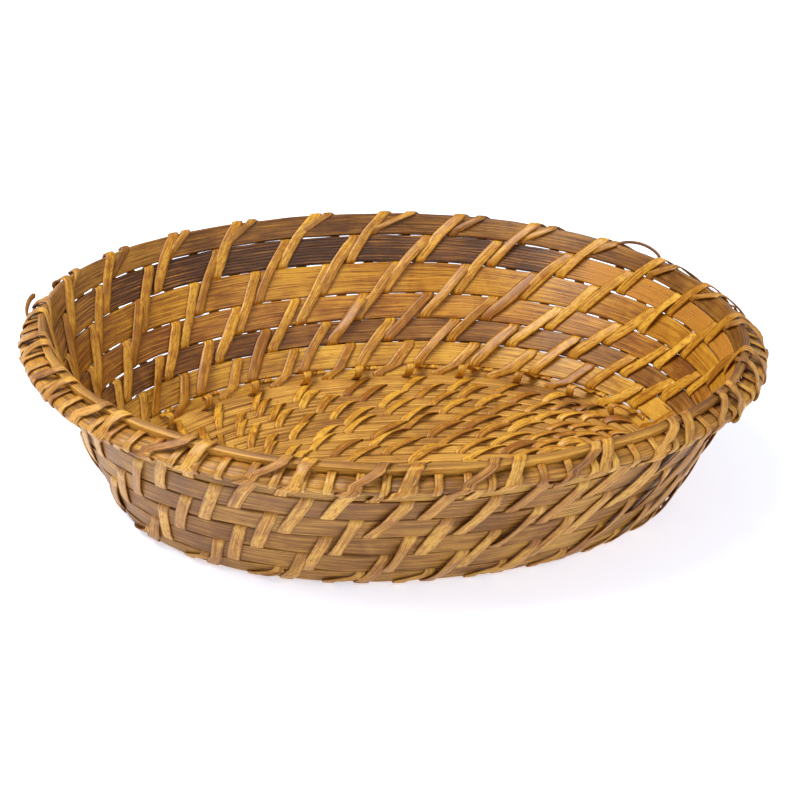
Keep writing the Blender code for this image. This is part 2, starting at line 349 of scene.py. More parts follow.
@dataclass(frozen=True)
class Section:
    """Cross-section of a length of cane, with its skin side up.

    Points are (across, up): across runs from -1 to 1 over the width and up from 0 to 1 over the thickness.
    """

    points: tuple[tuple[float, float], ...]

    def arrays(self) -> tuple[np.ndarray, np.ndarray]:
        """Across and up of every point."""
        table = np.array(self.points, float)
        return table[:, 0], table[:, 1]


FLAT_STRIP = Section((
    (-1.0, 0.5), (-0.99, 0.18), (-0.955, 0.05), (-0.90, 0.01), (-0.82, 0.0), (0.0, -0.01), (0.82, 0.0),
    (0.90, 0.01), (0.955, 0.05), (0.99, 0.18), (1.0, 0.5), (0.99, 0.82), (0.955, 0.95), (0.90, 0.99),
    (0.82, 1.0), (0.0, 1.01), (-0.82, 1.0), (-0.90, 0.99), (-0.955, 0.95), (-0.99, 0.82)))
ROUND_STRIP = Section((
    (-1.0, 0.45), (-0.93, 0.15), (-0.72, 0.02), (-0.35, -0.03), (0.0, -0.04), (0.35, -0.03), (0.72, 0.02),
    (0.93, 0.15), (1.0, 0.45), (0.92, 0.72), (0.70, 0.90), (0.36, 1.02), (0.0, 1.06), (-0.36, 1.02),
    (-0.70, 0.90), (-0.92, 0.72)))
STRAND_LENS = Section((
    (-1.0, 0.20), (-0.5, 0.0), (0.0, 0.0), (0.5, 0.0), (1.0, 0.20), (0.96, 0.78), (0.55, 0.96), (0.0, 1.0),
    (-0.55, 0.96), (-0.96, 0.78)))


@dataclass
class Course:
    """The line that a length of cane follows, with its section's directions and sizes at each station."""

    centre: np.ndarray
    across: np.ndarray
    up: np.ndarray
    width: np.ndarray
    thick: np.ndarray
    tone: np.ndarray
    outer: np.ndarray
    shear: np.ndarray | None = None
    closed: bool = True


def lay_cane(name: str, course: Course, section: Section, finish: bpy.types.Material,
             two_faced: bool = False) -> bpy.types.Object:
    """Form a length of cane along its course, from a ring or a sheet rolled round the section.

    Args:
        name: Name of the piece.
        course: Where the cane runs and how wide and thick it is.
        section: The cross-section.
        finish: The material.
        two_faced: The upper half of the section counts as the basket's outer face.

    Returns:
        The finished piece, closed and with UVs in metres.
    """
    a, b = section.arrays()
    sides = len(a)
    a, b = np.append(a, a[0]), np.append(b, b[0])
    rows = np.arange(len(course.centre) + 1) % len(course.centre) if course.closed else np.arange(
        len(course.centre))
    bpy.ops.object.select_all(action="DESELECT")
    bpy.ops.mesh.primitive_grid_add(x_subdivisions=sides, y_subdivisions=len(rows) - 1, size=1.0)
    piece = bpy.context.object
    piece.name = name
    mesh = piece.data
    mesh.name = name

    reach = (course.width / 2.0)[:, None] * a[None, :]
    lift = course.thick[:, None] * b[None, :]
    points = (course.centre[:, None, :] + reach[..., None] * course.across[:, None, :]
              + lift[..., None] * course.up[:, None, :])[rows]
    if not course.closed:
        for end in (0, -1):
            points[end] = points[end].mean(axis=0)
    mesh.vertices.foreach_set("co", points.reshape(-1).astype(np.float32))

    steps = np.linalg.norm(np.diff(course.centre[rows], axis=0), axis=1)
    along = np.concatenate([[0.0], np.cumsum(steps)])
    ring = np.stack([a * course.width.mean() / 2.0, b * course.thick.mean()], axis=1)
    girth = np.concatenate([[0.0], np.cumsum(np.linalg.norm(np.diff(ring, axis=0), axis=1))])
    slide = np.zeros(len(course.centre)) if course.shear is None else course.shear
    corner = np.zeros(len(mesh.loops), dtype=np.int64)
    mesh.loops.foreach_get("vertex_index", corner)
    station, place = corner // (sides + 1), corner % (sides + 1)
    u = along[station] + slide[rows][station] * a[place]
    layer = mesh.uv_layers[0]
    layer.name = "UVMap"
    layer.data.foreach_set("uv", np.stack([u, girth[place]], axis=-1).reshape(-1).astype(np.float32))

    shape = (len(rows), sides + 1)
    outer = course.outer[rows][:, None]
    if two_faced:
        outer = np.clip((b - 0.35) / 0.3, 0.0, 1.0)[None, :]
    fields = {"tone": course.tone[rows][:, None], "outer": outer, "edge": np.abs(a)[None, :]}
    for label, values in fields.items():
        layer = mesh.attributes.new(label, "FLOAT", "POINT")
        layer.data.foreach_set("value", np.broadcast_to(values, shape).astype(np.float32).reshape(-1))

    bpy.ops.object.mode_set(mode="EDIT")
    bpy.ops.mesh.select_all(action="SELECT")
    bpy.ops.mesh.remove_doubles(threshold=0.000001)
    bpy.ops.mesh.normals_make_consistent(inside=False)
    bpy.ops.object.mode_set(mode="OBJECT")
    bpy.ops.object.shade_smooth()
    mesh.materials.clear()
    mesh.materials.append(finish)
    return piece


def fit_out(piece: bpy.types.Object, slot: Slot, *nodes: str) -> bpy.types.Object:
    """Tie a finished piece to the frame.

    Args:
        piece: The piece.
        slot: The record's slot that its finish stands for; not used.
        *nodes: CAD nodes that it stands for.

    Returns:
        The same piece.
    """
    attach(piece, "root")
    if nodes:
        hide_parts(*nodes)
    LOG.info("%s: %d faces", piece.name, len(piece.data.polygons))
    return piece


# ---------------------------------------------------------------- the shape of the wall and base


@dataclass(frozen=True)
class Wall:
    """The slanting oval wall; level 0 is its foot and level 1 its rim, and places are on its outer face."""

    foot_half: tuple[float, float]
    foot_centre: tuple[float, float]
    mouth_half: tuple[float, float]
    mouth_centre: tuple[float, float]
    foot_z: float = 0.0015
    height: float = 0.0760
    bulge: float = 0.0020
    power: float = 2.1
    shoulder_swell: float = 0.0029
    shoulder_angle: float = 2.65
    shoulder_power: int = 10
    dip: float = 0.0046
    dip_angle: float = 4.50
    front_levels: tuple[float, ...] = (1.0, 0.859, 0.716, 0.552, 0.403, 0.250, 0.104, 0.0)
    back_levels: tuple[float, ...] = (1.0, 0.862, 0.690, 0.500, 0.345, 0.210, 0.066, 0.0)
    shares: np.ndarray = field(default_factory=lambda: np.linspace(0.0, 1.0, 1441), compare=False)

    @classmethod
    def from_frame(cls) -> "Wall":
        """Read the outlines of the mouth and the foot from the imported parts.

        Returns:
            The wall.
        """
        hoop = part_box("inner_rim_hoop")[1]
        low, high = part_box("base_row_01")
        foot_half = ((high.x - low.x) / 2.0 + FOOT_CLEARANCE, (high.y - low.y) / 2.0 + FOOT_CLEARANCE)
        return cls(foot_half, ((high.x + low.x) / 2.0, (high.y + low.y) / 2.0),
                   (hoop.x - MOUTH_SHIFT[0], hoop.y - MOUTH_SHIFT[1]), MOUTH_SHIFT)

    def point(self, level: np.ndarray, angle: np.ndarray) -> np.ndarray:
        """Points on the outer face.

        Args:
            level: Levels, 0 to 1.
            angle: Angles round the basket.

        Returns:
            The points.
        """
        swell = self.bulge * 4.0 * level * (1.0 - level)
        half = [low + level * (top - low) + swell for low, top in zip(self.foot_half, self.mouth_half)]
        cosine, sine = np.cos(angle), np.sin(angle)
        radius = (np.abs(cosine / half[0]) ** self.power + np.abs(sine / half[1]) ** self.power) ** (
            -1.0 / self.power)
        facing = np.maximum(np.cos(angle - self.shoulder_angle), 0.0) ** self.shoulder_power
        radius = radius + self.shoulder_swell * level * facing
        x = radius * cosine + self.mouth_centre[0] * level + self.foot_centre[0] * (1.0 - level)
        y = radius * sine + self.mouth_centre[1] * level + self.foot_centre[1] * (1.0 - level)
        sag = np.clip((level - 0.5) / 0.5, 0.0, None) * np.maximum(np.cos(angle - self.dip_angle), 0.0) ** 2
        return np.stack([x, y, self.foot_z + level * self.height - self.dip * sag], axis=-1)

    def level_at(self, mark: np.ndarray, angle: np.ndarray) -> np.ndarray:
        """Levels of places counted in rows, since the rows are wider at the back than at the front.

        Args:
            mark: 0 at the rim, 1 at the gap under the first row, and so on to 7 at the foot.
            angle: Angles.

        Returns:
            The levels.
        """
        marks = np.arange(len(self.front_levels))
        front = np.interp(mark, marks, self.front_levels)
        back = np.interp(mark, marks, self.back_levels)
        return front + (back - front) * (0.5 + 0.5 * np.sin(angle))

    def directions(self, level: np.ndarray, angle: np.ndarray) -> tuple[np.ndarray, np.ndarray, np.ndarray]:
        """Unit directions at places on the wall.

        Args:
            level: Levels.
            angle: Angles.

        Returns:
            Along the row, up the slant and outwards.
        """
        along = unit(self.point(level, angle + 0.005) - self.point(level, angle - 0.005))
        rise = self.point(level + 0.01, angle) - self.point(level - 0.01, angle)
        outward = unit(np.cross(along, rise))
        return along, np.cross(outward, along), outward

    def place(self, level: np.ndarray, angle: np.ndarray, rise: np.ndarray, out: np.ndarray) -> np.ndarray:
        """Points beside the wall.

        Args:
            level: Levels.
            angle: Angles.
            rise: Distances up the slant.
            out: Distances outwards.

        Returns:
            The points.
        """
        _, up, outward = self.directions(level, angle)
        return self.point(level, angle) + rise[:, None] * up + out[:, None] * outward

    def angle_at(self, turns: np.ndarray) -> np.ndarray:
        """Angles at these shares of the way round, measured by length along the wall.

        Args:
            turns: Turns round the wall, which may go past one.

        Returns:
            The angles.
        """
        table = self.shares * FULL_TURN
        points = self.point(np.full_like(table, 0.5), table)
        lengths = np.concatenate([[0.0], np.cumsum(np.linalg.norm(np.diff(points, axis=0), axis=1))])
        whole = np.floor(turns)
        return FULL_TURN * whole + np.interp(turns - whole, lengths / lengths[-1], table)


@dataclass(frozen=True)
class Base:
    """The flat oval base; inset is measured inwards from its outermost row's outer edge."""

    half: tuple[float, float]
    centre: tuple[float, float]
    low: float
    high: float
    rows: int = 11      # the core counts as one
    power: float = 2.1
    slot: float = 0.0004
    gap: float = 0.0007
    core_half: float = 0.072
    core_tilt: float = -0.20

    @classmethod
    def from_frame(cls) -> "Base":
        """Read the base's outline and levels from its outermost packed row.

        Returns:
            The base.
        """
        low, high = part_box("base_row_01")
        half = ((high.x - low.x) / 2.0, (high.y - low.y) / 2.0)
        return cls(half, ((high.x + low.x) / 2.0, (high.y + low.y) / 2.0), low.z, high.z)

    @property
    def pitch(self) -> float:
        """Spacing of the rows."""
        return (self.half[1] - self.slot + self.gap) / self.rows

    def point(self, inset: np.ndarray, angle: np.ndarray, height: np.ndarray) -> np.ndarray:
        """Points on the base.

        Args:
            inset: Distances inwards.
            angle: Eccentric angles.
            height: Heights.

        Returns:
            The points.
        """
        depth = inset / (self.half[1] - self.slot)
        squareness = 2.0 / self.power
        cosine, sine = np.cos(angle), np.sin(angle)
        half_length = self.half[0] + (self.core_half - self.half[0]) * depth
        x = half_length * np.sign(cosine) * np.abs(cosine) ** squareness
        y = (self.half[1] - inset) * np.sign(sine) * np.abs(sine) ** squareness
        tilt = self.core_tilt * np.clip(depth, 0.0, 1.0)
        turned_x = x * np.cos(tilt) - y * np.sin(tilt) + self.centre[0]
        turned_y = x * np.sin(tilt) + y * np.cos(tilt) + self.centre[1]
        return np.stack([turned_x, turned_y, height], axis=-1)

    def directions(self, inset: np.ndarray, angle: np.ndarray) -> tuple[np.ndarray, np.ndarray]:
        """Directions along the row and inwards.

        Args:
            inset: Distances inwards.
            angle: Eccentric angles.

        Returns:
            Unit vectors along the row, anticlockwise, and towards the middle.
        """
        zero = np.zeros_like(angle)
        along = unit(self.point(inset, angle + 0.01, zero) - self.point(inset, angle - 0.01, zero))
        return along, np.cross(np.array([0.0, 0.0, 1.0]), along)


# ---------------------------------------------------------------- rows and hoops


def between_edges(head: np.ndarray, foot: np.ndarray, up: np.ndarray, offset: float,
                  thick: float | np.ndarray, tone: np.ndarray, outside: float) -> Course:
    """Course of a row or hoop that runs between two edges.

    Args:
        head: One edge at each station.
        foot: The other edge.
        up: Direction of the thickness.
        offset: How far the section's lower face is moved along that direction.
        thick: Thickness.
        tone: Tone at each station.
        outside: 1 for the outer colours, 0 for the inner.

    Returns:
        The course.
    """
    rise = head - foot
    none = np.zeros(len(tone))
    return Course(
        centre=(head + foot) / 2.0 + up * offset, across=unit(rise), up=up,
        width=np.linalg.norm(rise, axis=1), thick=none + thick, tone=tone, outer=none + outside)


@dataclass
class WallRow:
    """One flat cane row of the wall, its skin side turned in."""

    number: int
    finish: bpy.types.Material
    slot: Slot
    node: str
    thickness: float = 0.0030
    gap: float = 0.0006
    wander: float = 0.00026
    stations: int = 420
    tones: tuple[tuple[float, float], ...] = ()

    def build(self, wall: Wall) -> bpy.types.Object:
        """Lay the row round the wall.

        Args:
            wall: The wall's shape.

        Returns:
            The piece.
        """
        share = np.arange(self.stations) / self.stations
        angle = wall.angle_at(share)
        half_gap = self.gap / 2.0
        upper = wall.level_at(np.full(self.stations, float(self.number)), angle)
        lower = wall.level_at(np.full(self.stations, self.number + 1.0), angle)
        high = np.full(self.stations, -half_gap if self.number > 0 else -0.2 * MM)
        low = np.full(self.stations, half_gap if self.number < LAST_WALL_ROW else 0.4 * MM)
        high += drift(share, self.wander, (3, 7, 11, 19, 31), 10 * self.number + 1)
        low += drift(share, self.wander, (2, 5, 13, 23, 37), 10 * self.number + 2)
        sway = drift(share, 0.00035, (4, 9, 17, 26), 10 * self.number + 3)
        head = wall.place(upper, angle, high, sway)
        foot = wall.place(lower, angle, low, sway)
        _, _, outward = wall.directions((upper + lower) / 2.0, angle)
        course = between_edges(head, foot, outward, -self.thickness, self.thickness, self.tone(share), 0.0)
        piece = lay_cane(f"{self.node}_cane", course, FLAT_STRIP, self.finish, two_faced=True)
        return fit_out(piece, self.slot, self.node)

    def tone(self, share: np.ndarray) -> np.ndarray:
        """Tone round the row: its own changes, plus slow drift.

        Args:
            share: Places round the row.

        Returns:
            Tones about 0.5.
        """
        base = np.full_like(share, 0.5)
        if self.tones:
            places, values = zip(*self.tones)
            base = np.interp(share, places, values, period=1.0)
        return np.clip(base + drift(share, 0.16, (2, 3, 5, 8, 13), 10 * self.number + 4), 0.0, 1.0)


def end_swell(angle: np.ndarray) -> np.ndarray:
    """How much thicker the outer hoop is towards the two ends of the oval.

    Args:
        angle: Angles round the basket.

    Returns:
        The extra thickness.
    """
    return HOOP_END_SWELL * np.cos(angle) ** 2


@dataclass
class OuterHoop:
    """Half-round hoop outside the rim, pinched by its bands."""

    finish: bpy.types.Material
    bottom: float = 0.75
    top: float = 0.33
    standoff: float = 0.0004
    thickness: float = 0.0072
    bands: int = 96
    stations: int = 768

    def build(self, wall: Wall) -> bpy.types.Object:
        """Lay the hoop round the wall.

        Args:
            wall: The wall's shape.

        Returns:
            The piece.
        """
        share = np.arange(self.stations) / self.stations
        angle = wall.angle_at(share)
        pinch = 0.00035 * np.cos(FULL_TURN * share * self.bands)
        sway = drift(share, 0.0005, (3, 5, 9, 14), 71)
        upper = wall.level_at(np.full(self.stations, self.top), angle)
        lower = wall.level_at(np.full(self.stations, self.bottom), angle)
        head = wall.place(upper, angle, drift(share, 0.0003, (4, 11, 21), 72) - pinch, sway)
        foot = wall.place(lower, angle, drift(share, 0.0003, (5, 9, 25), 73) + pinch, sway)
        _, _, outward = wall.directions((upper + lower) / 2.0, angle)
        tone = np.clip(0.5 + drift(share, 0.16, (3, 7, 13, 29, 47), 74), 0.0, 1.0)
        course = between_edges(head, foot, outward, self.standoff,
                               self.thickness - pinch + end_swell(angle), tone, 1.0)
        piece = lay_cane("outer_rim_hoop_cane", course, ROUND_STRIP, self.finish)
        return fit_out(piece, Slot.GOLD, "outer_rim_hoop")


@dataclass
class BaseRow:
    """One row of the coiled base, a bundle of split fibres with a rounded back."""

    number: int
    node: str
    finish: bpy.types.Material
    reach: float = 0.0
    stations: int = 264

    def build(self, base: Base) -> bpy.types.Object:
        """Lay the row on the base.

        Args:
            base: The base's shape.

        Returns:
            The piece.
        """
        share = np.arange(self.stations) / self.stations
        angle = share * FULL_TURN
        outer = (self.number - 1) * base.pitch
        edge = outer + drift(share, 0.0002, (3, 7, 12), 200 + self.number) - self.reach
        inner = outer + base.pitch - base.gap + drift(share, 0.0002, (4, 9, 14), 220 + self.number)
        low = np.full(self.stations, base.low + 0.0002)
        lift = drift(share, 0.00025, (3, 6, 10), 240 + self.number)
        rim = base.point(edge, angle, low + lift)
        core = base.point(inner, angle, low + lift)
        tone = 0.5 + drift(share, 0.13, (2, 5, 9), 260 + self.number)
        course = between_edges(rim, core, np.tile([0.0, 0.0, 1.0], (self.stations, 1)), 0.0,
                               base.high - base.low - 0.0002, np.clip(tone, 0.0, 1.0), 0.0)
        piece = lay_cane(f"{self.node}_cane", course, ROUND_STRIP, self.finish)
        return fit_out(piece, Slot.SPLIT, self.node)


# ---------------------------------------------------------------- strands


@dataclass(frozen=True)
class Stop:
    """One station of a stitch: its place on the wall, share of the stitch travelled, and arch allowed."""

    mark: float
    rise: float
    out: float
    travel: float
    arch: float = 0.0
    side: Side = Side.INSIDE


@dataclass(frozen=True)
class Stitch:
    """A stitch's closed round of stops, from the top passage down inside and back up outside."""

    stops: tuple[Stop, ...]
    turn: float

    def arrays(self) -> np.ndarray:
        """Mark, rise, out, travel, arch and side of each stop, a line each."""
        return np.array([(s.mark, s.rise, s.out, s.travel, s.arch, s.side.value) for s in self.stops])


def run_between(first: Stop, last: Stop, count: int, side: Side) -> list[Stop]:
    """Stops along a face between two passages.

    Args:
        first: Stop that the run leaves.
        last: Stop that it reaches.
        count: Number of stops between.
        side: The face.

    Returns:
        The stops between the two.
    """
    stops = []
    for i in range(1, count + 1):
        f = i / (count + 1)
        stops.append(Stop(
            first.mark + f * (last.mark - first.mark), first.rise + f * (last.rise - first.rise),
            first.out + f * (last.out - first.out), first.travel + f * (last.travel - first.travel),
            math.sin(math.pi * f) ** 0.6, side))
    return stops


@dataclass
class Lashing:
    """A helical strand worked through the wall, stitch after stitch, all the way round."""

    name: str
    stitch: Stitch
    finish: bpy.types.Material
    seed: int
    lag: float = 0.0
    count: int = 24
    width: float = 0.0058
    thickness: float = 0.0008
    place_jitter: float = 0.05
    arch: tuple[float, float] = (0.0002, 0.0009)
    tilt: float = 0.12
    nodes: tuple[str, ...] = ()
    steepest: float = 0.62
    width_spread: tuple[float, float] = (0.88, 1.14)
    tones: tuple[float, float] = (0.52, 0.17)   # average and spread

    def build(self, wall: Wall) -> bpy.types.Object:
        """Work the strand round the wall.

        Args:
            wall: The wall's shape.

        Returns:
            The piece.
        """
        rng = np.random.default_rng(self.seed)
        table = self.stitch.arrays()
        n, m = self.count, len(table)
        mark, rise, out, travel, arch, side = (np.tile(table[:, k], n) for k in range(6))
        turn = np.repeat(np.arange(n), m)
        split = self.stitch.turn
        at_top = rng.uniform(-1.0, 1.0, n) * self.place_jitter
        at_foot = rng.uniform(-1.0, 1.0, n) * self.place_jitter
        down = travel <= split
        share = np.where(down, np.clip(travel / split, 0.0, 1.0),
                         np.clip((travel - split) / (1.0 - split), 0.0, 1.0))
        begin = np.where(down, at_top[turn], at_foot[turn])
        end = np.where(down, at_foot[turn], at_top[(turn + 1) % n])
        jitter = begin + (end - begin) * share
        turns = (turn + self.lag + travel + jitter) / n
        angle = wall.angle_at(turns)
        level = wall.level_at(mark, angle)

        high = rng.uniform(*self.arch, (2, n)) * rng.uniform(0.5, 1.0, (2, n))
        which = side.astype(int)
        away = np.where(side > 0.5, 1.0, -1.0)
        out = out + away * arch * high[which, turn]
        over_hoop = np.clip((out - 1.5 * MM) / (5.0 * MM), 0.0, 1.0)
        out = out + over_hoop * end_swell(angle)
        centre = wall.place(level, angle, rise, out)
        along, _, _ = wall.directions(level, angle)
        tilts = rng.normal(0.0, self.tilt, (2, n))[which, turn] * arch
        widths = rng.uniform(*self.width_spread, (2, n))[which, turn]
        widths = self.width * (1.0 + (widths - 1.0) * np.minimum(arch * 2.0, 1.0))
        tones = np.clip(rng.normal(*self.tones, (2, n)), 0.0, 1.0)[which, turn]
        course = strand_course(centre, along, widths, self.thickness, tilts, tones, side, self.steepest)
        piece = lay_cane(self.name, course, STRAND_LENS, self.finish)
        return fit_out(piece, Slot.STITCH, *self.nodes)


def strand_course(centre: np.ndarray, along: np.ndarray, widths: np.ndarray, thickness: float,
                  tilts: np.ndarray, tones: np.ndarray, outer: np.ndarray, steepest: float) -> Course:
    """Course of a flat strand whose sections lie parallel to the row that it wraps.

    Args:
        centre: Line of the strand's underside.
        along: Direction of the row at each station.
        widths: Widths square to the strand.
        thickness: Thickness of the strand.
        tilts: Sideways tilts, in radians.
        tones: Tone at each station.
        outer: 1 where the strand is outside.
        steepest: Least sine of the angle between strand and row that is allowed for.

    Returns:
        The course.
    """
    tangent = unit(np.roll(centre, -1, axis=0) - np.roll(centre, 1, axis=0))
    lean = np.sum(tangent * along, axis=1)
    up = unit(np.cross(along, tangent))
    sine = np.sqrt(np.clip(1.0 - lean**2, steepest**2, 1.0))
    across = unit(along * np.cos(tilts)[:, None] + up * np.sin(tilts)[:, None])
    spread = widths / sine
    raised = centre + up * (np.abs(np.sin(tilts)) * spread / 2.0)[:, None]
    return Course(centre=raised, across=across, up=up, width=spread, thick=np.full(len(centre), thickness),
                  tone=tones, outer=outer, shear=-lean * spread / 2.0)


@dataclass(frozen=True)
class StitchPattern:
    """Shapes the stitches of the wall from the levels of its rows."""

    thickness: float = 0.0030
    half_gap: float = 0.00055
    clear: float = 0.00022
    inside_travel: float = 0.60

    def over(self, mark: float, sign: float, travel: float, outward: bool) -> list[Stop]:
        """Passage round one edge of a row.

        Args:
            mark: Gap that it passes through.
            sign: 1 over an upper edge, -1 under a lower edge.
            travel: Share of the stitch at the gap.
            outward: The strand goes from inside to outside.

        Returns:
            The stops through the gap.
        """
        outer, inner = self.clear, -self.thickness - self.clear
        depth = (1.9 * MM, 0.55 * MM, -0.02 * MM, -0.12 * MM, -0.02 * MM, 0.55 * MM, 1.9 * MM)
        reach = (outer, outer - 0.15 * MM, outer - 0.75 * MM, -self.thickness / 2.0, inner + 0.75 * MM,
                 inner + 0.15 * MM, inner)
        if outward:
            reach = tuple(reversed(reach))
        stops = []
        for i, (down, out) in enumerate(zip(depth, reach)):
            before_turn = (i < 3) != outward
            side = Side.OUTSIDE if (out > -self.thickness / 2.0) or (i == 3 and before_turn) else Side.INSIDE
            stops.append(Stop(mark, sign * (-self.half_gap - down), out, travel + 0.011 * (i - 3), 0.0, side))
        return stops

    def wall_stitch(self, upper: int) -> Stitch:
        """Stitch round the rows between two gaps.

        Args:
            upper: Number of the upper row.

        Returns:
            The stitch.
        """
        head = self.over(upper, 1.0, 0.0, outward=False)
        foot = self.over(upper + 2, -1.0, self.inside_travel, outward=True)
        inside = run_between(head[-1], foot[0], 9, Side.INSIDE)
        start_again = Stop(head[0].mark, head[0].rise, head[0].out, head[0].travel + 1.0)
        outside = run_between(foot[-1], start_again, 9, Side.OUTSIDE)
        return Stitch(tuple(head + inside + foot + outside), self.inside_travel)

    def rim_stitch(self, gap: int, hoop: OuterHoop, inner_travel: float) -> Stitch:
        """Stitch over both hoops, through a gap of the wall and up round the outer hoop.

        Args:
            gap: Gap that it passes through.
            hoop: The outer hoop.
            inner_travel: Share of the stitch made inside.

        Returns:
            The stitch.
        """
        inner, face = -self.thickness - self.clear, hoop.standoff + hoop.thickness + 0.0005
        rest = 1.0 - inner_travel
        climb = 0.14 if gap == 1 else 0.42
        foot = self.over(gap, -1.0, inner_travel, outward=True)
        head = [
            Stop(0.0, 0.5 * MM, 0.5 * MM, -0.02, 0.0, Side.OUTSIDE),
            Stop(0.0, 0.75 * MM, -1.0 * MM, 0.0, 0.0, Side.INSIDE),
            Stop(0.0, 0.35 * MM, inner + 0.6 * MM, 0.015, 0.0, Side.INSIDE),
            Stop(0.0, -0.8 * MM, inner, 0.035, 0.0, Side.INSIDE),
        ]
        inside = run_between(head[-1], foot[0], 9, Side.INSIDE)
        under, turn, lip, crest, brow = (
            Stop(mark, rise * MM, out, inner_travel + (climb + later) * rest, 0.0, Side.OUTSIDE)
            for mark, rise, out, later in (
                (hoop.bottom, -1.6, hoop.standoff + 1.0 * MM, 0.0),
                (hoop.bottom, -0.6, face - 1.6 * MM, 0.03), (hoop.bottom, 1.2, face - 0.4 * MM, 0.06),
                (hoop.top, -1.4, face - 0.4 * MM, 0.30), (hoop.top, 0.4, face - 2.0 * MM, 0.34)))
        outside = run_between(foot[-1], under, 3, Side.OUTSIDE) + [under, turn, lip]
        outside += run_between(lip, crest, 5, Side.OUTSIDE) + [crest, brow]
        last = Stop(0.0, 0.3 * MM, 1.6 * MM, 0.965, 0.0, Side.OUTSIDE)
        outside += run_between(brow, last, 3, Side.OUTSIDE) + [last]
        return Stitch(tuple(head + inside + foot + outside), inner_travel)

    def band_stitch(self, hoop: OuterHoop) -> Stitch:
        """Band round the outer hoop alone.

        Args:
            hoop: The outer hoop.

        Returns:
            The stitch.
        """
        near, far = hoop.standoff - 0.0004, hoop.standoff + hoop.thickness + 0.00025
        places = (
            (hoop.top, 0.45, near + 1.0 * MM, 0.0), (hoop.top, 0.2, near + 0.2 * MM, 0.03),
            (hoop.top, -1.2, near, 0.10), (hoop.bottom, 2.0, near, 0.60),
            (hoop.bottom, 0.2, near + 0.2 * MM, 0.70), (hoop.bottom, -0.35, near + 1.5 * MM, 0.72),
            (hoop.bottom, -0.35, near + 4.0 * MM, 0.73),
            (hoop.bottom, 0.0, far - 1.3 * MM, 0.75), (hoop.bottom, 1.0, far - 0.3 * MM, 0.78),
            (hoop.bottom, 2.0, far, 0.82), (hoop.top, -2.0, far, 0.85),
            (hoop.top, -1.0, far - 0.3 * MM, 0.89),
            (hoop.top, 0.0, far - 1.3 * MM, 0.93), (hoop.top, 0.4, near + 3.2 * MM, 0.97))
        stops = tuple(Stop(mark, rise * MM, out, travel, 0.0, Side.OUTSIDE)
                      for mark, rise, out, travel in places)
        return Stitch(stops, 0.5)

    def foot_stitch(self, base: Base) -> Stitch:
        """Stitch that ties the lowest wall row to the outermost base row.

        Args:
            base: The base.

        Returns:
            The stitch.
        """
        head = self.over(6, 1.0, 0.0, outward=False)
        inner = -self.thickness - self.clear
        floor = 6.5
        reach = base.pitch
        places = (
            (floor - 0.3, 0.4, inner - 0.4 * MM, 0.22), (floor, 0.6, inner - 2.2 * MM, 0.26),
            (floor, 0.75, inner - 4.0 * MM, 0.30), (floor, 0.8, inner - 0.55 * reach - 2.5 * MM, 0.37),
            (floor, 0.4, inner - reach - 0.6 * MM, 0.43), (floor, -0.8, inner - reach - 1.7 * MM, 0.45),
            (7.0, 0.6, inner - reach - 0.2 * MM, 0.46), (7.0, -0.4, inner - reach + 1.0 * MM, 0.47),
            (7.0, -0.9, inner - 0.5 * reach, 0.50), (7.0, -0.6, -2.0 * MM, 0.54),
            (7.0, -0.1, -0.4 * MM, 0.56), (7.0, 1.0, self.clear, 0.57), (7.0, 2.2, self.clear, 0.59))
        under = [Stop(mark, rise * MM, out, travel, 0.0, Side.INSIDE if travel < 0.48 else Side.OUTSIDE)
                 for mark, rise, out, travel in places]
        inside = run_between(head[-1], under[0], 4, Side.INSIDE)
        again = Stop(head[0].mark, head[0].rise, head[0].out, head[0].travel + 1.0)
        outside = run_between(under[-1], again, 5, Side.OUTSIDE)
        return Stitch(tuple(head + inside + under + outside), 0.46)


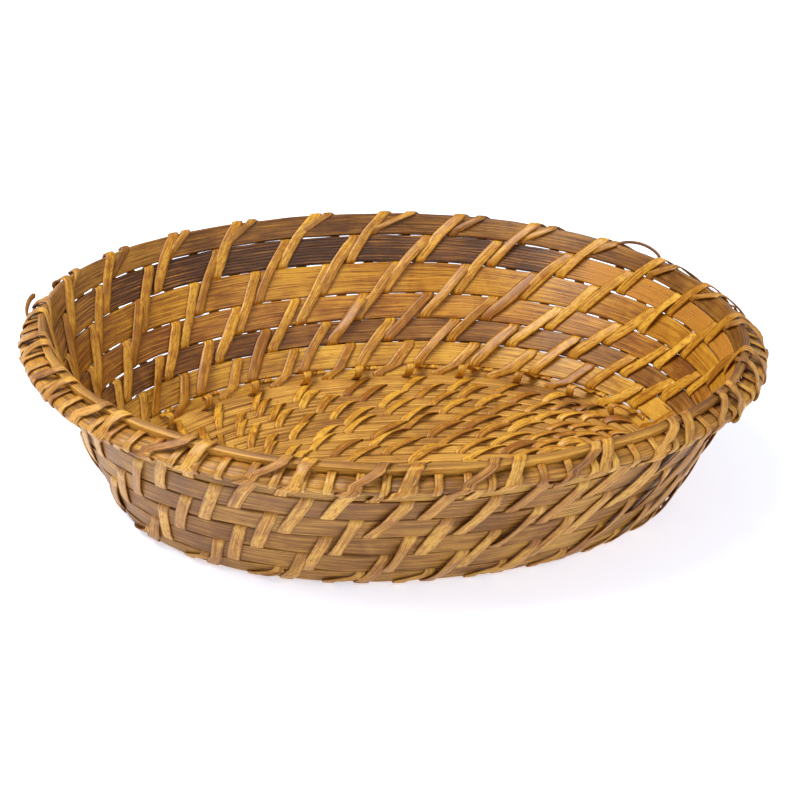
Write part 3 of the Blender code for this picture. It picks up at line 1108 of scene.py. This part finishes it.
@dataclass
class BaseLashing:
    """Strand that binds two neighbouring base rows together."""

    outer_row: int
    finish: bpy.types.Material
    pitch: float = 0.021
    width: float = 0.0040
    thickness: float = 0.0007
    lean: float = 0.62
    nodes: tuple[str, ...] = ()

    def build(self, base: Base) -> bpy.types.Object:
        """Work the strand round the two rows.

        Args:
            base: The base's shape.

        Returns:
            The piece.
        """
        rng = np.random.default_rng(400 + self.outer_row)
        outer = (self.outer_row - 1) * base.pitch
        inner = outer + 2.0 * base.pitch - base.gap
        middle = (outer + inner) / 2.0
        depth = middle / base.half[1]
        half_length = base.half[0] + (base.core_half - base.half[0]) * depth
        around = 4.0 * math.hypot(half_length, 0.8 * (base.half[1] - middle))
        count = max(6, round(around / self.pitch))
        high, low = base.high + 0.00015, base.low - 0.0007
        stops = [(outer + 1.2 * MM, low, 0.90, 0.0), (outer + 0.2 * MM, low + 0.5 * MM, 0.96, 0.0),
                 (outer - 0.1 * MM, (low + high) / 2.0, 1.0, 0.0),
                 (outer + 0.2 * MM, high - 0.9 * MM, 0.02, 0.0),
                 (outer + 0.9 * MM, high - 0.25 * MM, 0.035, 0.0)]
        for i in range(1, 9):
            f = i / 9.0
            stops.append((outer + 0.9 * MM + f * (inner - outer - 1.8 * MM), high,
                          0.035 + (self.lean - 0.07) * f, math.sin(math.pi * f)))
        stops += [(inner - 0.9 * MM, high - 0.25 * MM, self.lean - 0.035, 0.0),
                  (inner - 0.2 * MM, high - 0.9 * MM, self.lean - 0.02, 0.0),
                  (inner + 0.1 * MM, (low + high) / 2.0, self.lean, 0.0),
                  (inner - 0.2 * MM, low + 0.5 * MM, self.lean + 0.02, 0.0),
                  (inner - 1.2 * MM, low, self.lean + 0.05, 0.0), (middle, low, 0.70, 0.0)]
        table = np.array(stops)
        m = len(table)
        inset, height, travel, arch = (np.tile(table[:, k], count) for k in range(4))
        turn = np.repeat(np.arange(count), m).astype(float)
        turn = np.where(np.tile(np.arange(m) < 3, count), turn - 1.0, turn)
        jitter = rng.uniform(-0.10, 0.10, count)
        index = np.repeat(np.arange(count), m)
        angle = FULL_TURN * (turn + travel + jitter[index] + 0.5 * (self.outer_row % 2)) / count
        height = height + arch * rng.uniform(0.0003, 0.0010, count)[index]
        centre = base.point(inset, angle, height)
        along, _ = base.directions(inset, angle)
        tilts = rng.normal(0.0, 0.2, count)[index] * arch
        tones = np.clip(rng.normal(0.5, 0.2, count), 0.0, 1.0)[index]
        course = strand_course(centre, along, np.full(len(centre), self.width), self.thickness, tilts, tones,
                               np.zeros(len(centre)), 0.5)
        piece = lay_cane(f"base_binder_{self.outer_row:02d}_strand", course, STRAND_LENS, self.finish)
        return fit_out(piece, Slot.STITCH, *self.nodes)


@dataclass
class LooseEnd:
    """A short free length of strand, tapered at both ends."""

    name: str
    knots: tuple[tuple[float, float, float, float], ...]
    finish: bpy.types.Material
    width: float
    thickness: float = 0.0009
    stations: int = 40
    tone: float = 0.35

    def build(self, wall: Wall) -> bpy.types.Object:
        """Lay the length through its knots.

        Args:
            wall: The wall's shape; each knot is (turns in degrees, level, rise, out).

        Returns:
            The piece.
        """
        table = np.array(self.knots)
        grid = np.linspace(0.0, len(table) - 1.0, self.stations)
        padded = np.vstack([2 * table[0] - table[1], table, 2 * table[-1] - table[-2]])
        k = np.minimum(grid.astype(int), len(table) - 2)
        t = (grid - k)[:, None]
        p0, p1, p2, p3 = padded[k], padded[k + 1], padded[k + 2], padded[k + 3]
        smooth = 0.5 * (2 * p1 + (p2 - p0) * t + (2 * p0 - 5 * p1 + 4 * p2 - p3) * t**2
                        + (3 * p1 - p0 - 3 * p2 + p3) * t**3)
        angle = np.radians(smooth[:, 0])
        centre = wall.place(smooth[:, 1], angle, smooth[:, 2], smooth[:, 3])
        tangent = unit(np.gradient(centre, axis=0))
        _, _, outward = wall.directions(smooth[:, 1], angle)
        up = unit(outward - tangent * np.sum(outward * tangent, axis=1)[:, None])
        from_start = np.arange(self.stations)
        taper = np.minimum(1.0, np.minimum(from_start, from_start[::-1]) / 4.0 + 0.25)
        course = Course(centre=centre, across=np.cross(up, tangent), up=up, width=self.width * taper,
                        thick=self.thickness * taper, tone=np.full(self.stations, self.tone),
                        outer=np.zeros(self.stations), closed=False)
        piece = lay_cane(self.name, course, STRAND_LENS, self.finish)
        return fit_out(piece, Slot.STITCH)


# ---------------------------------------------------------------- the basket


@dataclass
class Basket:
    """The whole basket: rows, hoops and strands."""

    wall: Wall
    base: Base
    finishes: Finishes
    pattern: StitchPattern = field(default_factory=StitchPattern)

    def build_wall(self) -> None:
        """Lay the inner hoop, the six wall rows and the outer hoop."""
        f = self.finishes
        WallRow(0, f.hoop, Slot.GOLD, "inner_rim_hoop", thickness=0.0036,
                tones=((0.0, 0.35), (0.1, 0.55), (0.25, 0.35), (0.4, 0.5), (0.6, 0.8), (0.75, 0.6),
                       (0.9, 0.35))).build(self.wall)
        looks = (
            (f.vine, Slot.DARK, ((0.0, 1.0), (0.085, 0.95), (0.12, 0.35), (0.36, 0.3), (0.40, 0.6),
                                 (0.5, 0.6), (0.9, 0.9))),
            (f.gold, Slot.GOLD, ((0.1, 0.5), (0.28, 0.55), (0.36, 0.35), (0.45, 0.3))),
            (f.amber, Slot.GOLD, ((0.0, 0.4), (0.2, 0.5), (0.4, 0.35))),
            (f.smoked, Slot.GOLD, ((0.0, 0.45), (0.25, 0.5), (0.4, 0.25))),
            (f.straw, Slot.GOLD, ((0.0, 0.6), (0.25, 0.5), (0.4, 0.25))),
            (f.straw, Slot.GOLD, ((0.0, 0.6), (0.25, 0.55), (0.4, 0.4))),
        )
        for number, (finish, slot, tones) in enumerate(looks, start=1):
            WallRow(number, finish, slot, f"wall_row_{number}", tones=tones).build(self.wall)
        OuterHoop(f.outer_hoop).build(self.wall)

    def build_base(self) -> None:
        """Lay the base rows and bind them."""
        f = self.finishes
        for number in range(1, self.base.rows + 1):
            node = f"base_row_{number:02d}" if number < self.base.rows else "base_core"
            reach = 0.0050 if number == 1 else 0.0
            BaseRow(number, node, f.split, reach).build(self.base)
        for outer_row in range(1, self.base.rows):
            nodes = (f"base_binder_{outer_row // 2}",) if outer_row % 2 == 0 else ()
            BaseLashing(outer_row, f.strand, nodes=nodes).build(self.base)

    def build_strands(self) -> None:
        """Work every strand of the wall and the rim."""
        f = self.finishes
        hoop = OuterHoop(f.outer_hoop)
        Lashing("rim_lashing_strand", self.pattern.rim_stitch(2, hoop, 0.58), f.strand, 501, width=0.0054,
                nodes=("rim_lashing",)).build(self.wall)
        Lashing("rim_second_strand", self.pattern.rim_stitch(1, hoop, 0.45), f.brown_strand, 502,
                lag=-0.24, width=0.0044, thickness=0.0009, place_jitter=0.08).build(self.wall)
        Lashing("rim_wrap_strand", self.pattern.band_stitch(hoop), f.strand, 503, count=96, width=0.0036,
                place_jitter=0.10, arch=(0.0, 0.0), nodes=("rim_wrap",)).build(self.wall)
        for upper, lag in enumerate((0.46, 0.92, 1.44, 2.02, 2.66), start=1):
            Lashing(f"wall_binder_{upper}_strand", self.pattern.wall_stitch(upper), f.strand, 510 + upper,
                    lag=lag, nodes=(f"wall_binder_{upper}",)).build(self.wall)
        foot = self.pattern.foot_stitch(self.base)
        Lashing("foot_binder_strand", foot, f.strand, 530, lag=3.3, width=0.0044, arch=(0.0, 0.0006),
                nodes=("foot_binder",)).build(self.wall)

    def build_loose_ends(self) -> None:
        """Lay the free ends that stand off the rim."""
        f = self.finishes
        LooseEnd("rim_loose_loop", (
            (29.0, 1.0, -0.003, 0.008), (26.0, 1.0, 0.0025, 0.009), (23.0, 1.0, 0.0042, 0.0085),
            (20.5, 1.0, 0.0036, 0.009), (18.5, 1.0, 0.0010, 0.010), (17.5, 1.0, -0.004, 0.010)),
            f.brown_strand, width=0.0017, thickness=0.0007, tone=0.0).build(self.wall)
        LooseEnd("rim_loose_tip", (
            (165.0, 1.0, -0.0050, 0.0070), (162.5, 1.0, -0.0015, 0.0085), (160.0, 1.0, 0.0010, 0.0080),
            (158.0, 1.0, 0.0016, 0.0066)),
            f.brown_strand, width=0.0026, tone=0.6).build(self.wall)
        LooseEnd("wall_crossed_strand", (
            (216.0, 0.34, 0.0, -0.0042), (211.0, 0.50, 0.0, -0.0052), (206.0, 0.66, 0.0, -0.0052),
            (201.0, 0.82, 0.0, -0.0042)),
            f.brown_strand, width=0.0044, tone=0.7).build(self.wall)


@dataclass(frozen=True)
class Studio:
    """Pale floor, soft lights and the camera."""

    floor_colour: str = "EEF3FF"
    key_watts: float = 25.0
    fill_watts: float = 7.0
    world_strength: float = 0.48
    floor_glow: float = 0.58
    air_colour: str = "F6F8FC"
    lens_mm: float = 73.291
    lens_shift: tuple[float, float] = (0.0045125, -0.0166625)

    def build(self) -> None:
        """Set up the stage around the basket."""
        self.build_floor()
        self.build_light("key_light", (-0.70, 0.10, 1.30), 1.0, self.key_watts)
        self.build_light("fill_light", (0.6, -1.2, 0.8), 1.4, self.fill_watts)
        world = bpy.data.worlds.new("studio_air")
        bpy.context.scene.world = world
        world.use_nodes = True
        air = world.node_tree.nodes["Background"]
        air.inputs["Color"].default_value = linear(self.air_colour)
        air.inputs["Strength"].default_value = self.world_strength
        bpy.context.scene.view_settings.view_transform = "Standard"
        self.build_camera()

    def build_floor(self) -> None:
        """Lay the floor at the level that the basket stands on."""
        bpy.ops.object.select_all(action="DESELECT")
        bpy.ops.mesh.primitive_plane_add(size=8.0, location=(0.0, 0.0, CAD_BOX[0][2]))
        floor = bpy.context.object
        floor.name = "studio_floor"
        paper = bpy.data.materials.new("paper_backdrop_matt")
        paper.use_nodes = True
        shader = paper.node_tree.nodes["Principled BSDF"]
        shader.inputs["Base Color"].default_value = linear(self.floor_colour)
        shader.inputs["Roughness"].default_value = 0.9
        shader.inputs["Emission Color"].default_value = linear(self.floor_colour)
        shader.inputs["Emission Strength"].default_value = self.floor_glow
        floor.data.materials.append(paper)

    def build_light(self, name: str, place: tuple[float, float, float], size: float, watts: float) -> None:
        """Add a square soft light aimed at the basket.

        Args:
            name: The light's name.
            place: Where it hangs.
            size: Side of the square.
            watts: Its power.
        """
        lamp = bpy.data.lights.new(name, "AREA")
        lamp.size = size
        lamp.energy = watts
        holder = bpy.data.objects.new(name, lamp)
        bpy.context.scene.collection.objects.link(holder)
        aim = np.array([0.0, 0.0, 0.04]) - np.array(place)
        back = -unit(aim[None, :])[0]
        right = unit(np.cross([0.0, 0.0, 1.0], back)[None, :])[0]
        top = np.cross(back, right)
        holder.matrix_world = Matrix((
            (right[0], top[0], back[0], place[0]), (right[1], top[1], back[1], place[1]),
            (right[2], top[2], back[2], place[2]), (0.0, 0.0, 0.0, 1.0)))

    def build_camera(self) -> None:
        """Place the camera."""
        lens = bpy.data.cameras.new("view_camera")
        lens.lens = self.lens_mm
        lens.sensor_width = 36.0
        lens.shift_x, lens.shift_y = self.lens_shift
        camera = bpy.data.objects.new("view_camera", lens)
        bpy.context.scene.collection.objects.link(camera)
        camera.matrix_world = Matrix((
            (0.94537, 0.09432, -0.31205, -0.25019), (-0.32263, 0.40776, -0.85419, -0.68487),
            (0.04668, 0.9082, 0.41592, 0.37347), (0.0, 0.0, 0.0, 1.0)))
        bpy.context.scene.camera = camera


def main() -> None:
    """Build the studio and the basket, and note the sizes."""
    logging.basicConfig(level=logging.INFO, format="%(name)s %(message)s")
    Studio().build()
    basket = Basket(Wall.from_frame(), Base.from_frame(), Finishes())
    basket.build_wall()
    basket.build_base()
    basket.build_strands()
    basket.build_loose_ends()


if __name__ == "__main__":
    main()
